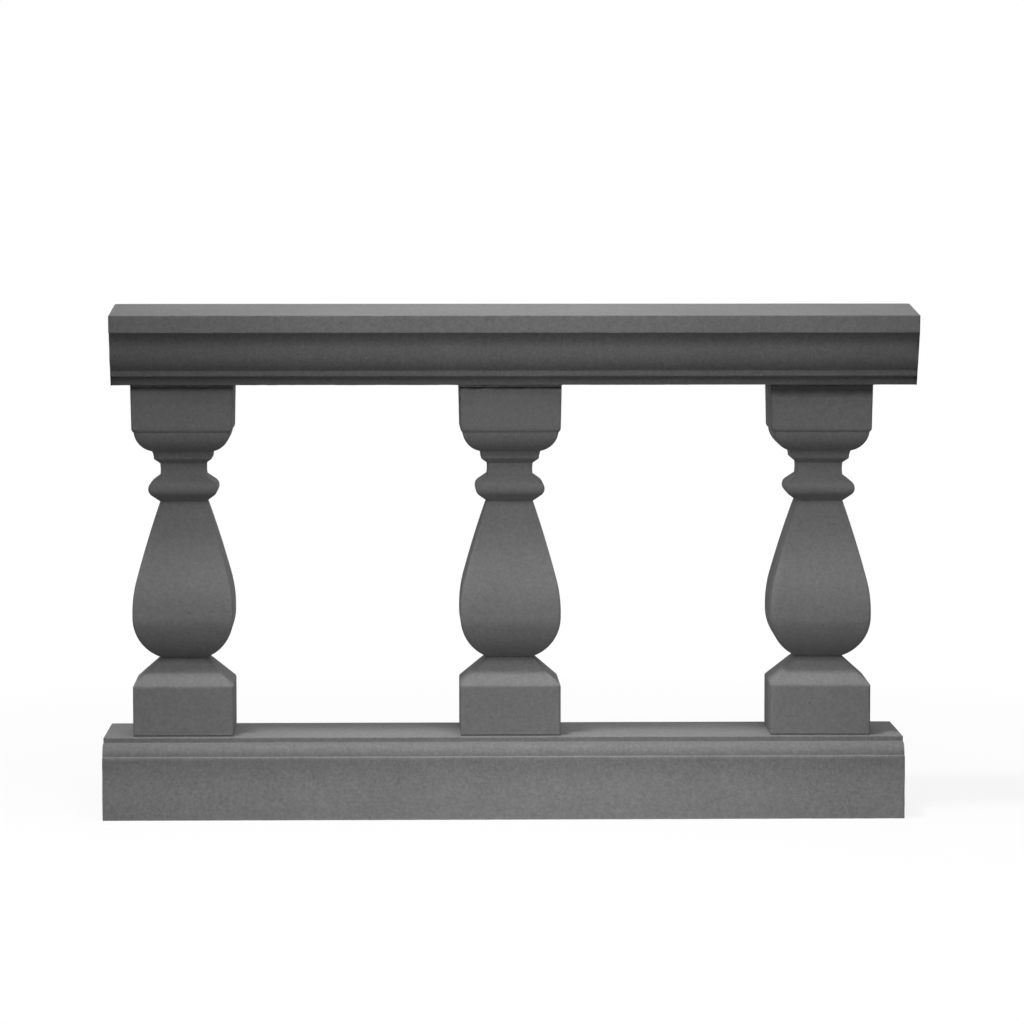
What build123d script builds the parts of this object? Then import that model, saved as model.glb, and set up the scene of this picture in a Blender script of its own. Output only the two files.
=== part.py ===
"""One bay of a cast stone balustrade: a plinth rail, three square vase balusters and a coping.

Millimetres, +Z up. X runs along the bay and the front faces -Y. The origin is on the
underside of the plinth, at the middle of the whole bay.
"""

from build123d import *
import os

# The bay
BAY_LENGTH = 1000.0
BAY_HEIGHT = 640.0             # from the ground to the ridge of the coping
COPING_SHIFT = 12.9            # how far the coping is laid to the right of the plinth
END_DISTANCE = 100.0           # from an end of the plinth to the middle of its outer baluster
LAID_OFF = {"left": -1.2, "middle": 8.3, "right": -1.9}   # how far off its mark each baluster stands
TURNED = {"left": 0.7, "middle": 0.3, "right": -1.2}      # degrees off square to the rails
BED_THICKNESS = 1.5            # mortar between a baluster and its rails
BED_RECESS = {"foot": 0.8, "head": 3.0}   # how far the mortar is raked back from the faces

# Plinth rail, from the ground up
PLINTH_WIDTH = 193.0
PLINTH_FACE_HEIGHT = 79.7
PLINTH_LEDGE = 4.0             # flat outside the quarter round, and again inside it
PLINTH_ROUND = 15.5            # radius of the quarter round
PLINTH_FILLET_HEIGHT = 6.0     # upright band under the flat top
PLINTH_ARRIS = 2.5

# Coping, from its underside up
COPING_WIDTH = 232.0
COPING_BAND_HEIGHT = 10.6
COPING_BEAD_HEIGHT = 8.0
COPING_BEAD_PROUD = 7.0        # the bead beyond the band below it
COPING_ROUND_HEIGHT = 23.6     # swelling lower half of the ogee
COPING_ROUND_DEPTH = 13.0
COPING_OGEE_FLAT = 7.0         # upright stretch between the two halves
COPING_HOLLOW_HEIGHT = 15.8    # hollow upper half of the ogee
COPING_HOLLOW_DEPTH = 8.0
COPING_SOFFIT = 6.0            # flat under the fascia
COPING_FASCIA_HEIGHT = 22.4
COPING_WEATHERING = 11.3       # rise of the sloped top to its ridge
COPING_ARRIS = 2.5

# Baluster, from its foot up: heights of the members
BLOCK_HEIGHT = 61.5
FOOT_SLOPE_HEIGHT = 32.7
BELLY_UNDER_HEIGHT = 53.3
BELLY_FLAT_HEIGHT = 6.0
SHOULDER_AT = 0.317            # how far up the tapering side the shoulder ends
COLLAR_SLOPE_HEIGHT = 8.2      # straight stretch below and above the collar's nose
COLLAR_NOSE_HEIGHT = 16.0
NECK_HEIGHT = 13.9
CAP_UNDER_HEIGHT = 7.4         # slope out from the neck to the fillet
CAP_FILLET_HEIGHT = 9.6
CAP_ROUND_HEIGHT = 21.9
CAP_ROUND_SWELL = 5.0          # how far the round swells beyond a straight slope
CAP_BEVEL_HEIGHT = 7.8
DIE_HEIGHT = 53.4

# Baluster: half its width at each member
BLOCK_HALF = 62.8
BLOCK_ARRIS = 4.5              # radius of the worn arris between the block and the slope
FOOT_NECK_HALF = 27.8
BELLY_HALF = 62.8
SHOULDER_HALF = 56.9
WAIST_HALF = 28.9
COLLAR_EDGE_HALF = 39.6
COLLAR_HALF = 43.2
NECK_HALF = 28.4
CAP_FILLET_FOOT_HALF = 36.2
CAP_FILLET_HALF = 36.8
CAP_ROUND_HALF = 58.9          # at the head of the round
DIE_FOOT_HALF = 62.7
DIE_HEAD_HALF = 63.8           # the die widens a little towards its top

# Steel dowels that pin each baluster to its rails
DOWEL_DIAMETER = 12.0
DOWEL_CLEARANCE = 1.0          # round the dowel, in its socket
DOWEL_IN_RAIL = 45.0
DOWEL_IN_BALUSTER = 40.0
DOWEL_END_PLAY = 3.0           # empty end of the socket above the dowel

# Levels that follow from the sizes above
plinth_height = PLINTH_FACE_HEIGHT + PLINTH_ROUND + PLINTH_FILLET_HEIGHT
coping_height = (
    COPING_BAND_HEIGHT + COPING_BEAD_HEIGHT + COPING_ROUND_HEIGHT + COPING_OGEE_FLAT
    + COPING_HOLLOW_HEIGHT + COPING_FASCIA_HEIGHT + COPING_WEATHERING
)
coping_foot = BAY_HEIGHT - coping_height
baluster_foot = plinth_height + BED_THICKNESS
baluster_head = coping_foot - BED_THICKNESS
plinth_x = -COPING_SHIFT / 2
coping_x = COPING_SHIFT / 2
outer_place = BAY_LENGTH / 2 - END_DISTANCE
baluster_x = {
    side: plinth_x + mark + LAID_OFF[side]
    for side, mark in (("left", -outer_place), ("middle", 0.0), ("right", outer_place))
}
socket_radius = DOWEL_DIAMETER / 2 + DOWEL_CLEARANCE
dowel_length = DOWEL_IN_RAIL + BED_THICKNESS + DOWEL_IN_BALUSTER


def closed_outline(right_side):
    """The face between a right-hand outline that ends on the centre line and its mirror."""
    half = Wire(right_side)
    foot, head = half @ 0, half @ 1
    axis = Line(head, foot)
    half_face = make_face([*half.edges(), axis])
    return half_face + mirror(half_face, about=Plane.YZ)


def round_arrises(outline, points, radius):
    """The outline with its corners at the given points, and at their mirror points, rounded."""
    corners = [
        vertex
        for vertex in outline.vertices()
        for x, y in points
        if abs(abs(vertex.X) - x) < 0.01 and abs(vertex.Y - y) < 0.01
    ]
    return fillet(corners, radius)


def plinth_outline():
    """Section of the plinth rail, from its underside to its flat top."""
    face = PLINTH_WIDTH / 2
    round_foot = face - PLINTH_LEDGE
    round_head = round_foot - PLINTH_ROUND
    top = round_head - PLINTH_LEDGE
    round_top = PLINTH_FACE_HEIGHT + PLINTH_ROUND
    side = [
        Line((0, 0), (face, 0)),
        Line((face, 0), (face, PLINTH_FACE_HEIGHT)),
        Line((face, PLINTH_FACE_HEIGHT), (round_foot, PLINTH_FACE_HEIGHT)),
        CenterArc((round_head, PLINTH_FACE_HEIGHT), PLINTH_ROUND, 0, 90),
        Line((round_head, round_top), (top, round_top)),
        Line((top, round_top), (top, plinth_height)),
        Line((top, plinth_height), (0, plinth_height)),
    ]
    return round_arrises(
        closed_outline(side),
        [(face, PLINTH_FACE_HEIGHT), (top, plinth_height)],
        PLINTH_ARRIS,
    )


def coping_outline():
    """Section of the coping: band, bead, ogee, fascia and the top sloped both ways."""
    fascia = COPING_WIDTH / 2
    hollow_head = fascia - COPING_SOFFIT
    ogee = hollow_head - COPING_HOLLOW_DEPTH
    bead = ogee - COPING_ROUND_DEPTH
    band = bead - COPING_BEAD_PROUD
    bead_foot = coping_foot + COPING_BAND_HEIGHT
    bead_head = bead_foot + COPING_BEAD_HEIGHT
    round_head = bead_head + COPING_ROUND_HEIGHT
    hollow_foot = round_head + COPING_OGEE_FLAT
    fascia_foot = hollow_foot + COPING_HOLLOW_HEIGHT
    fascia_head = fascia_foot + COPING_FASCIA_HEIGHT
    swelling = TangentArc((ogee, round_head), (bead, bead_head), tangent=(0, -1))
    hollow = TangentArc((ogee, hollow_foot), (hollow_head, fascia_foot), tangent=(0, 1))
    side = [
        Line((0, coping_foot), (band, coping_foot)),
        Line((band, coping_foot), (band, bead_foot)),
        Line((band, bead_foot), (bead, bead_foot)),
        Line((bead, bead_foot), (bead, bead_head)),
        swelling,
        Line((ogee, round_head), (ogee, hollow_foot)),
        hollow,
        Line((hollow_head, fascia_foot), (fascia, fascia_foot)),
        Line((fascia, fascia_foot), (fascia, fascia_head)),
        Line((fascia, fascia_head), (0, fascia_head + COPING_WEATHERING)),
    ]
    return round_arrises(
        closed_outline(side),
        [(fascia, fascia_foot), (fascia, fascia_head), (bead, bead_head), (bead, bead_foot)],
        COPING_ARRIS,
    )


def baluster_outline():
    """Silhouette of a baluster from its foot to its head, the same on all four sides."""
    z = baluster_foot
    block_head = z + BLOCK_HEIGHT
    foot_neck = block_head + FOOT_SLOPE_HEIGHT
    belly_foot = foot_neck + BELLY_UNDER_HEIGHT
    belly_head = belly_foot + BELLY_FLAT_HEIGHT
    die_foot = baluster_head - DIE_HEIGHT
    cap_round_head = die_foot - CAP_BEVEL_HEIGHT
    cap_round_foot = cap_round_head - CAP_ROUND_HEIGHT
    cap_foot = cap_round_foot - CAP_FILLET_HEIGHT
    neck_head = cap_foot - CAP_UNDER_HEIGHT
    neck_foot = neck_head - NECK_HEIGHT
    nose_head = neck_foot - COLLAR_SLOPE_HEIGHT
    nose_foot = nose_head - COLLAR_NOSE_HEIGHT
    waist = nose_foot - COLLAR_SLOPE_HEIGHT
    shoulder = belly_head + SHOULDER_AT * (waist - belly_head)
    nose = (COLLAR_HALF, (nose_foot + nose_head) / 2)
    cap_round = SagittaArc(
        (CAP_FILLET_HALF, cap_round_foot), (CAP_ROUND_HALF, cap_round_head), CAP_ROUND_SWELL
    )

    belly_side = TangentArc((BELLY_HALF, belly_head), (SHOULDER_HALF, shoulder), tangent=(0, 1))
    side = [
        Line((0, z), (BLOCK_HALF, z)),
        Line((BLOCK_HALF, z), (BLOCK_HALF, block_head)),
        Line((BLOCK_HALF, block_head), (FOOT_NECK_HALF, foot_neck)),
        TangentArc((BELLY_HALF, belly_foot), (FOOT_NECK_HALF, foot_neck), tangent=(0, -1)),
        Line((BELLY_HALF, belly_foot), (BELLY_HALF, belly_head)),
        belly_side,
        TangentArc((SHOULDER_HALF, shoulder), (WAIST_HALF, waist), tangent=belly_side % 1),
        Line((WAIST_HALF, waist), (COLLAR_EDGE_HALF, nose_foot)),
        ThreePointArc((COLLAR_EDGE_HALF, nose_foot), nose, (COLLAR_EDGE_HALF, nose_head)),
        Line((COLLAR_EDGE_HALF, nose_head), (NECK_HALF, neck_foot)),
        Line((NECK_HALF, neck_foot), (NECK_HALF, neck_head)),
        Line((NECK_HALF, neck_head), (CAP_FILLET_FOOT_HALF, cap_foot)),
        Line((CAP_FILLET_FOOT_HALF, cap_foot), (CAP_FILLET_HALF, cap_round_foot)),
        cap_round,
        Line((CAP_ROUND_HALF, cap_round_head), (DIE_FOOT_HALF, die_foot)),
        Line((DIE_FOOT_HALF, die_foot), (DIE_HEAD_HALF, baluster_head)),
        Line((DIE_HEAD_HALF, baluster_head), (0, baluster_head)),
    ]
    return round_arrises(closed_outline(side), [(BLOCK_HALF, block_head)], BLOCK_ARRIS)


def rail(outline, middle_x):
    """A run moulding: the section drawn out to the length of the bay, with square-cut ends."""
    run = extrude(Plane.YZ * outline, BAY_LENGTH / 2, both=True)
    return Pos(middle_x, 0, 0) * run


def square_vase():
    """The baluster on the origin: one silhouette on all four sides, mitred at the corners."""
    widest = max(BLOCK_HALF, BELLY_HALF, DIE_HEAD_HALF, DIE_FOOT_HALF) + 1
    slab = extrude(Plane.XZ * baluster_outline(), widest, both=True)
    return slab & Rot(0, 0, 90) * slab


def socket(x, foot, head):
    """The round hole that a dowel stands in."""
    depth = head - foot
    return Pos(x, 0, foot + depth / 2) * Cylinder(socket_radius, depth)


def bed(x, half_width, foot):
    """A mortar bed, open round its dowel."""
    width = 2 * half_width
    slab = Box(width, width, BED_THICKNESS) - Cylinder(socket_radius, BED_THICKNESS)
    return Pos(x, 0, foot + BED_THICKNESS / 2) * slab


def dowel(x, foot):
    """A plain steel pin."""
    return Pos(x, 0, foot + dowel_length / 2) * Cylinder(DOWEL_DIAMETER / 2, dowel_length)


def bay_pieces():
    """All the pieces of the bay, by name."""
    plinth = rail(plinth_outline(), plinth_x)
    coping = rail(coping_outline(), coping_x)
    vase = square_vase()
    foot_dowel_z = plinth_height - DOWEL_IN_RAIL
    head_dowel_z = baluster_head - DOWEL_IN_BALUSTER
    pieces = {}
    for side, x in baluster_x.items():
        foot_socket = socket(x, foot_dowel_z, foot_dowel_z + dowel_length + DOWEL_END_PLAY)
        head_socket = socket(x, head_dowel_z, head_dowel_z + dowel_length + DOWEL_END_PLAY)
        plinth -= foot_socket
        coping -= head_socket
        stood = Pos(x, 0, 0) * Rot(0, 0, TURNED[side]) * vase
        pieces[f"baluster_{side}"] = stood - foot_socket - head_socket
        pieces[f"foot_bed_{side}"] = bed(x, BLOCK_HALF - BED_RECESS["foot"], plinth_height)
        pieces[f"head_bed_{side}"] = bed(x, DIE_HEAD_HALF - BED_RECESS["head"], baluster_head)
        pieces[f"foot_dowel_{side}"] = dowel(x, foot_dowel_z)
        pieces[f"head_dowel_{side}"] = dowel(x, head_dowel_z)
    pieces["plinth"] = plinth
    pieces["coping"] = coping
    return pieces


os.makedirs("parts", exist_ok=True)
for name, piece in bay_pieces().items():
    export_step(piece, f"parts/{name}.step")
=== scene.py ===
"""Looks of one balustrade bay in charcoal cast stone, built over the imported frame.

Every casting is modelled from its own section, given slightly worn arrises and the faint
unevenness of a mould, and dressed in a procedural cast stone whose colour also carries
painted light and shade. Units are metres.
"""

import logging
import math
from dataclasses import dataclass, field, fields
from enum import Enum

import bmesh
import bpy
from mathutils import Euler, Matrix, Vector


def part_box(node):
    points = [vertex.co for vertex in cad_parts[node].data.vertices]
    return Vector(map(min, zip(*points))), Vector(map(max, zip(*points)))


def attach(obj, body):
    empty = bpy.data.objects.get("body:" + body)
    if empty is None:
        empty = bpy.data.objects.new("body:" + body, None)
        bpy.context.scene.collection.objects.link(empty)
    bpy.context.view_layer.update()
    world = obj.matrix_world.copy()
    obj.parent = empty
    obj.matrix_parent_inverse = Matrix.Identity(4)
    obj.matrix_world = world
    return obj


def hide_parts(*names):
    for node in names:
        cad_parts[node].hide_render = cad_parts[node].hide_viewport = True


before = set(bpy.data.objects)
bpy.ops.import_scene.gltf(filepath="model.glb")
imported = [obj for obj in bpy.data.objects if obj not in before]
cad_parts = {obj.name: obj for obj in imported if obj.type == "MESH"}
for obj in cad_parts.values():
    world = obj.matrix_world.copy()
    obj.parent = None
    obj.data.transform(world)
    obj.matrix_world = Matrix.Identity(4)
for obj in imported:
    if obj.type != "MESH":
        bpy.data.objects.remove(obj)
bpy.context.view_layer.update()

log = logging.getLogger("balustrade")

MM = 0.001
BODY = "root"
HEAD_JOINT = 539.8 * MM
SMOOTHEST_ARRIS = math.radians(32)

Colour = tuple[float, float, float, float]


def grey(tone: float, blue: float = 0.0) -> Colour:
    """Returns a grey of the given tone, with a little more blue if wanted."""
    return (tone, tone, tone + blue, 1.0)


class Upright(Enum):
    """Which end of a curve in a section stands upright."""

    FOOT = "foot"
    HEAD = "head"


class Place(Enum):
    """The three balusters of the bay."""

    LEFT = "left"
    MIDDLE = "middle"
    RIGHT = "right"


def rest_the_hand() -> None:
    """Leaves edit mode and deselects every object."""
    if bpy.context.object and bpy.context.object.mode != "OBJECT":
        bpy.ops.object.mode_set(mode="OBJECT")
    bpy.ops.object.select_all(action="DESELECT")


def take_up(piece: bpy.types.Object) -> None:
    """Makes one piece the only selected and active object."""
    rest_the_hand()
    piece.select_set(True)
    bpy.context.view_layer.objects.active = piece


def turn_upright(piece: bpy.types.Object, degrees: float, middle: Vector) -> None:
    """Turns a piece's mesh about an upright axis.

    Args:
        piece: the piece.
        degrees: how far, counter-clockwise seen from above.
        middle: a point on the axis.
    """
    rest_the_hand()
    take_up(piece)
    bpy.ops.object.mode_set(mode="EDIT")
    bpy.ops.mesh.select_all(action="SELECT")
    bpy.ops.transform.rotate(
        value=-math.radians(degrees), orient_axis="Z", orient_type="GLOBAL", center_override=middle
    )
    rest_the_hand()


@dataclass
class Section:
    """A moulding's right-hand outline, drawn from its foot up.

    Args:
        half: half the width at the foot.
        height: height of the foot above the ground.
        step: longest step along a curve or a face.
        crease_share: radius of an inward corner as a share of an outward one's.
    """

    half: float
    height: float
    step: float = 3.0 * MM
    crease_share: float = 0.35
    points: list[tuple[float, float]] = field(default_factory=list)
    radii: dict[int, float] = field(default_factory=dict)

    def __post_init__(self) -> None:
        """Starts the outline at the foot."""
        self.points = [(self.half, self.height)]

    def corner(self, radius: float) -> "Section":
        """Gives the corner at the last point a radius of its own.

        Args:
            radius: radius of the rounded corner, or 0 where it stays sharp.

        Returns:
            The section itself.
        """
        self.radii[len(self.points) - 1] = radius
        return self

    def line(self, half: float, rise: float) -> "Section":
        """Draws a straight face up to a new half width.

        Args:
            half: half the width at the end of the face.
            rise: how much higher the face ends.

        Returns:
            The section itself, so that calls can follow one another.
        """
        return self.bend(half, rise, None)

    def curve(self, half: float, rise: float, upright: Upright) -> "Section":
        """Draws a round or a hollow that stands upright at one of its ends.

        Args:
            half: half the width at the end of the curve.
            rise: how much higher the curve ends.
            upright: the end that stands upright.

        Returns:
            The section itself.
        """
        chord_lean = math.atan2(half - self.points[-1][0], rise)
        lean = 0.0 if upright is Upright.FOOT else 2 * chord_lean
        return self.bend(half, rise, lean)

    def swell(self, half: float, rise: float, depth: float) -> "Section":
        """Draws a round that swells outwards beyond the straight face.

        Args:
            half: half the width at the end of the round.
            rise: how much higher the round ends.
            depth: how far it swells at most.

        Returns:
            The section itself.
        """
        run = half - self.points[-1][0]
        extra_lean = 2 * math.atan(2 * depth / math.hypot(run, rise))
        return self.bend(half, rise, math.atan2(run, rise) + extra_lean)

    def bend(self, half: float, rise: float, lean: float | None) -> "Section":
        """Draws an arc that leaves the last point at a given lean, or a straight face.

        Args:
            half: half the width at the end.
            rise: how much higher the end is.
            lean: angle of the arc from upright where it starts, outwards positive, or None.

        Returns:
            The section itself.
        """
        start_half, start_height = self.points[-1]
        run = half - start_half
        chord = math.hypot(run, rise)
        chord_lean = math.atan2(run, rise)
        turn = 0.0 if lean is None else chord_lean - lean
        steps = max(1, math.ceil(chord / self.step))
        if lean is not None:
            steps = max(4, steps)
        for number in range(1, steps + 1):
            share = number / steps
            reach = chord * (math.sin(share * turn) / math.sin(turn) if turn else share)
            angle = chord_lean - turn * (1 - share)
            self.points.append(
                (start_half + reach * math.sin(angle), start_height + reach * math.cos(angle))
            )
        return self

    def lean_at_end(self) -> float:
        """Returns the lean of the last step, for a curve that carries on."""
        (half_a, height_a), (half_b, height_b) = self.points[-2:]
        return math.atan2(half_b - half_a, height_b - height_a)

    def eased(self, radius: float, sharpest: float = math.radians(24)) -> list[tuple[float, float]]:
        """Rounds every sharp corner of the outline.

        Args:
            radius: radius of a corner that has none of its own.
            sharpest: a corner that turns less than this stays as it is.

        Returns:
            The outline's points, with each sharp corner as a short curve.
        """
        corners = [Vector((half, height)) for half, height in self.points]
        rounded = [self.points[0]]
        for number in range(1, len(corners) - 1):
            before, corner, after = corners[number - 1 : number + 2]
            arrive, leave = corner - before, after - corner
            turn = arrive.angle(leave, 0.0)
            own_radius = self.radii.get(number, radius)
            if arrive.cross(leave) < 0.0:
                own_radius *= self.crease_share
            if turn < sharpest or own_radius == 0.0:
                rounded.append(tuple(corner))
                continue
            reach = min(
                own_radius * math.tan(min(turn, math.radians(120)) / 2),
                0.48 * arrive.length,
                0.48 * leave.length,
            )
            first = corner - arrive.normalized() * reach
            last = corner + leave.normalized() * reach
            for share in (0.0, 0.25, 0.5, 0.75, 1.0):
                point = first.lerp(corner, share).lerp(corner.lerp(last, share), share)
                rounded.append(tuple(point))
        rounded.append(self.points[-1])
        return rounded


@dataclass(frozen=True)
class Unevenness:
    """How far a casting's faces wander from true, as the mould and the hand leave them.

    Args:
        swell: depth of the broad swells, and their size.
        ripple: depth of the fine ripples, and their size.
        chip: depth of the wear along the arrises, and its size.
        inward: share of the swells that goes inwards, from a half to 1.
    """

    swell: float = 0.2 * MM
    swell_size: float = 0.11
    ripple: float = 0.1 * MM
    ripple_size: float = 0.018
    chip: float = 0.5 * MM
    chip_size: float = 0.012
    inward: float = 1.0

    def apply_to(self, piece: bpy.types.Object, arrises: str) -> None:
        """Wears a casting inwards: broad swells, fine ripples, and chips along its arrises.

        Args:
            piece: the casting, with its mesh dense enough to take the ripples.
            arrises: name of the vertex group that marks the arrises.
        """
        self.displace(piece, "swell", self.swell, self.swell_size, self.inward)
        self.displace(piece, "ripple", self.ripple, self.ripple_size, self.inward)
        self.displace(piece, "chip", self.chip, self.chip_size, 1.0, arrises)

    @staticmethod
    def displace(
        piece: bpy.types.Object, name: str, depth: float, size: float, inward: float, group: str = ""
    ) -> None:
        """Adds and applies one displacement.

        Args:
            piece: the casting.
            name: name of the texture.
            depth: how deep the texture reaches at most.
            size: width of its features.
            inward: share of it that goes inwards.
            group: vertex group that limits it, or nothing.
        """
        take_up(piece)
        texture = bpy.data.textures.get(name) or bpy.data.textures.new(name, "CLOUDS")
        texture.noise_scale = size
        texture.noise_depth = 2
        modifier = piece.modifiers.new(name, "DISPLACE")
        modifier.texture = texture
        modifier.texture_coords = "LOCAL"
        modifier.direction = "NORMAL"
        modifier.mid_level = inward
        modifier.strength = depth
        modifier.vertex_group = group
        bpy.ops.object.modifier_apply(modifier=modifier.name)


class NodeGroup:
    """A shader node group in the making, with named inputs and outputs."""

    def __init__(self, name: str, inputs: dict[str, float | None], outputs: dict[str, str]) -> None:
        """Opens a new group.

        Args:
            name: the group's name.
            inputs: each input's name and default, where None makes it a vector.
            outputs: each output's name and socket type.
        """
        self.tree = bpy.data.node_groups.new(name, "ShaderNodeTree")
        for label, value in inputs.items():
            kind = "NodeSocketVector" if value is None else "NodeSocketFloat"
            socket = self.tree.interface.new_socket(label, in_out="INPUT", socket_type=kind)
            if value is not None:
                socket.default_value = value
        for label, kind in outputs.items():
            self.tree.interface.new_socket(label, in_out="OUTPUT", socket_type=kind)
        self.start = self.tree.nodes.new("NodeGroupInput")
        self.end = self.tree.nodes.new("NodeGroupOutput")

    def node(self, kind: str, **settings) -> bpy.types.Node:
        """Adds a node with the given settings and returns it."""
        made = self.tree.nodes.new(kind)
        for label, value in settings.items():
            setattr(made, label, value)
        return made

    def join(self, source, target) -> None:
        """Links an output to an input."""
        self.tree.links.new(source, target)

    def feed(self, socket: bpy.types.NodeSocket, value) -> None:
        """Links an output to an input, or sets the input to a plain value."""
        if isinstance(value, bpy.types.NodeSocket):
            self.join(value, socket)
        else:
            socket.default_value = value

    def math(self, operation: str, first, second=0.0, third=0.0) -> bpy.types.NodeSocket:
        """Adds a Math node.

        Args:
            operation: its operation.
            first: a socket or a number.
            second: a socket or a number.
            third: a socket or a number, for operations with three.

        Returns:
            The node's output.
        """
        made = self.node("ShaderNodeMath", operation=operation)
        for socket, value in zip(made.inputs, (first, second, third)):
            self.feed(socket, value)
        return made.outputs[0]

    def noise(self, scale, detail: float, roughness: float = 0.5) -> bpy.types.NodeSocket:
        """Adds a Noise node on the group's vector.

        Args:
            scale: a socket or a number.
            detail: octaves of detail.
            roughness: weight of the finer octaves.

        Returns:
            The node's factor.
        """
        made = self.node("ShaderNodeTexNoise")
        self.join(self.start.outputs["Vector"], made.inputs["Vector"])
        self.feed(made.inputs["Scale"], scale)
        made.inputs["Detail"].default_value = detail
        made.inputs["Roughness"].default_value = roughness
        return made.outputs["Fac"]

    def seen(self) -> bpy.types.NodeSocket:
        """Adds a Light Path node.

        Returns:
            1 for what the camera, gloss and glass see, and 0 for light that falls on the bay.
        """
        rays = self.node("ShaderNodeLightPath")
        camera_or_gloss = self.math(
            "MAXIMUM", rays.outputs["Is Camera Ray"], rays.outputs["Is Glossy Ray"]
        )
        return self.math("MAXIMUM", camera_or_gloss, rays.outputs["Is Transmission Ray"])

    def close(self, results: dict[str, bpy.types.NodeSocket]) -> bpy.types.NodeTree:
        """Links the outputs.

        Args:
            results: each output's name and the socket that feeds it.

        Returns:
            The finished group.
        """
        for label, source in results.items():
            self.join(source, self.end.inputs[label])
        return self.tree


def mottling_group() -> bpy.types.NodeTree:
    """Builds the group for the cloudy tone of cast stone: broad clouds with finer ones inside.

    Returns:
        A group that puts out a tone around 1.
    """
    group = NodeGroup(
        "Cast mottling", {"Vector": None, "Scale": 9.0, "Contrast": 0.1}, {"Tone": "NodeSocketFloat"}
    )
    scale, contrast = group.start.outputs["Scale"], group.start.outputs["Contrast"]
    broad = group.noise(scale, 3.0, 0.55)
    fine = group.noise(group.math("MULTIPLY", scale, 12.0), 5.0, 0.65)
    mixed = group.math("MULTIPLY_ADD", fine, 0.75, group.math("MULTIPLY", broad, 0.75))
    centred = group.math("SUBTRACT", mixed, 0.75)
    tone = group.math("MULTIPLY_ADD", centred, group.math("MULTIPLY", contrast, 4.0), 1.0)
    return group.close({"Tone": tone})


def grain_group() -> bpy.types.NodeTree:
    """Builds the group for the sand in the face of the stone.

    Returns:
        A group that puts out a tone around 1 and a height from 0 to 1.
    """
    group = NodeGroup(
        "Sandy grain",
        {"Vector": None, "Scale": 900.0, "Contrast": 0.15},
        {"Tone": "NodeSocketFloat", "Height": "NodeSocketFloat"},
    )
    scale, contrast = group.start.outputs["Scale"], group.start.outputs["Contrast"]
    sand = group.noise(scale, 2.0, 0.7)
    grit = group.noise(group.math("MULTIPLY", scale, 0.35), 2.0, 0.6)
    height = group.math("MULTIPLY_ADD", grit, 0.5, group.math("MULTIPLY", sand, 0.5))
    centred = group.math("SUBTRACT", height, 0.5)
    tone = group.math("MULTIPLY_ADD", centred, group.math("MULTIPLY", contrast, 4.0), 1.0)
    return group.close({"Tone": tone, "Height": height})


def spots_group() -> bpy.types.NodeTree:
    """Builds the group for scattered round spots: air holes, dark specks and pale specks.

    Returns:
        A group that puts out a mask from 0 to 1, with 1 in the middle of a spot.
    """
    group = NodeGroup(
        "Scattered spots",
        {"Vector": None, "Scale": 200.0, "Share": 0.1, "Radius": 0.2},
        {"Mask": "NodeSocketFloat"},
    )
    cells = group.node("ShaderNodeTexVoronoi", feature="F1")
    group.join(group.start.outputs["Vector"], cells.inputs["Vector"])
    group.join(group.start.outputs["Scale"], cells.inputs["Scale"])
    parts = group.node("ShaderNodeSeparateColor")
    group.join(cells.outputs["Color"], parts.inputs["Color"])
    chosen = group.math("LESS_THAN", parts.outputs["Red"], group.start.outputs["Share"])
    size = group.math("MULTIPLY_ADD", parts.outputs["Green"], 0.6, 0.4)
    reach = group.math("MULTIPLY", group.start.outputs["Radius"], size)
    depth = group.math("SUBTRACT", 1.0, group.math("DIVIDE", cells.outputs["Distance"], reach))
    spot = group.node("ShaderNodeClamp")
    group.join(group.math("MULTIPLY", depth, 2.0), spot.inputs["Value"])
    return group.close({"Mask": group.math("MULTIPLY", spot.outputs[0], chosen)})


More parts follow.
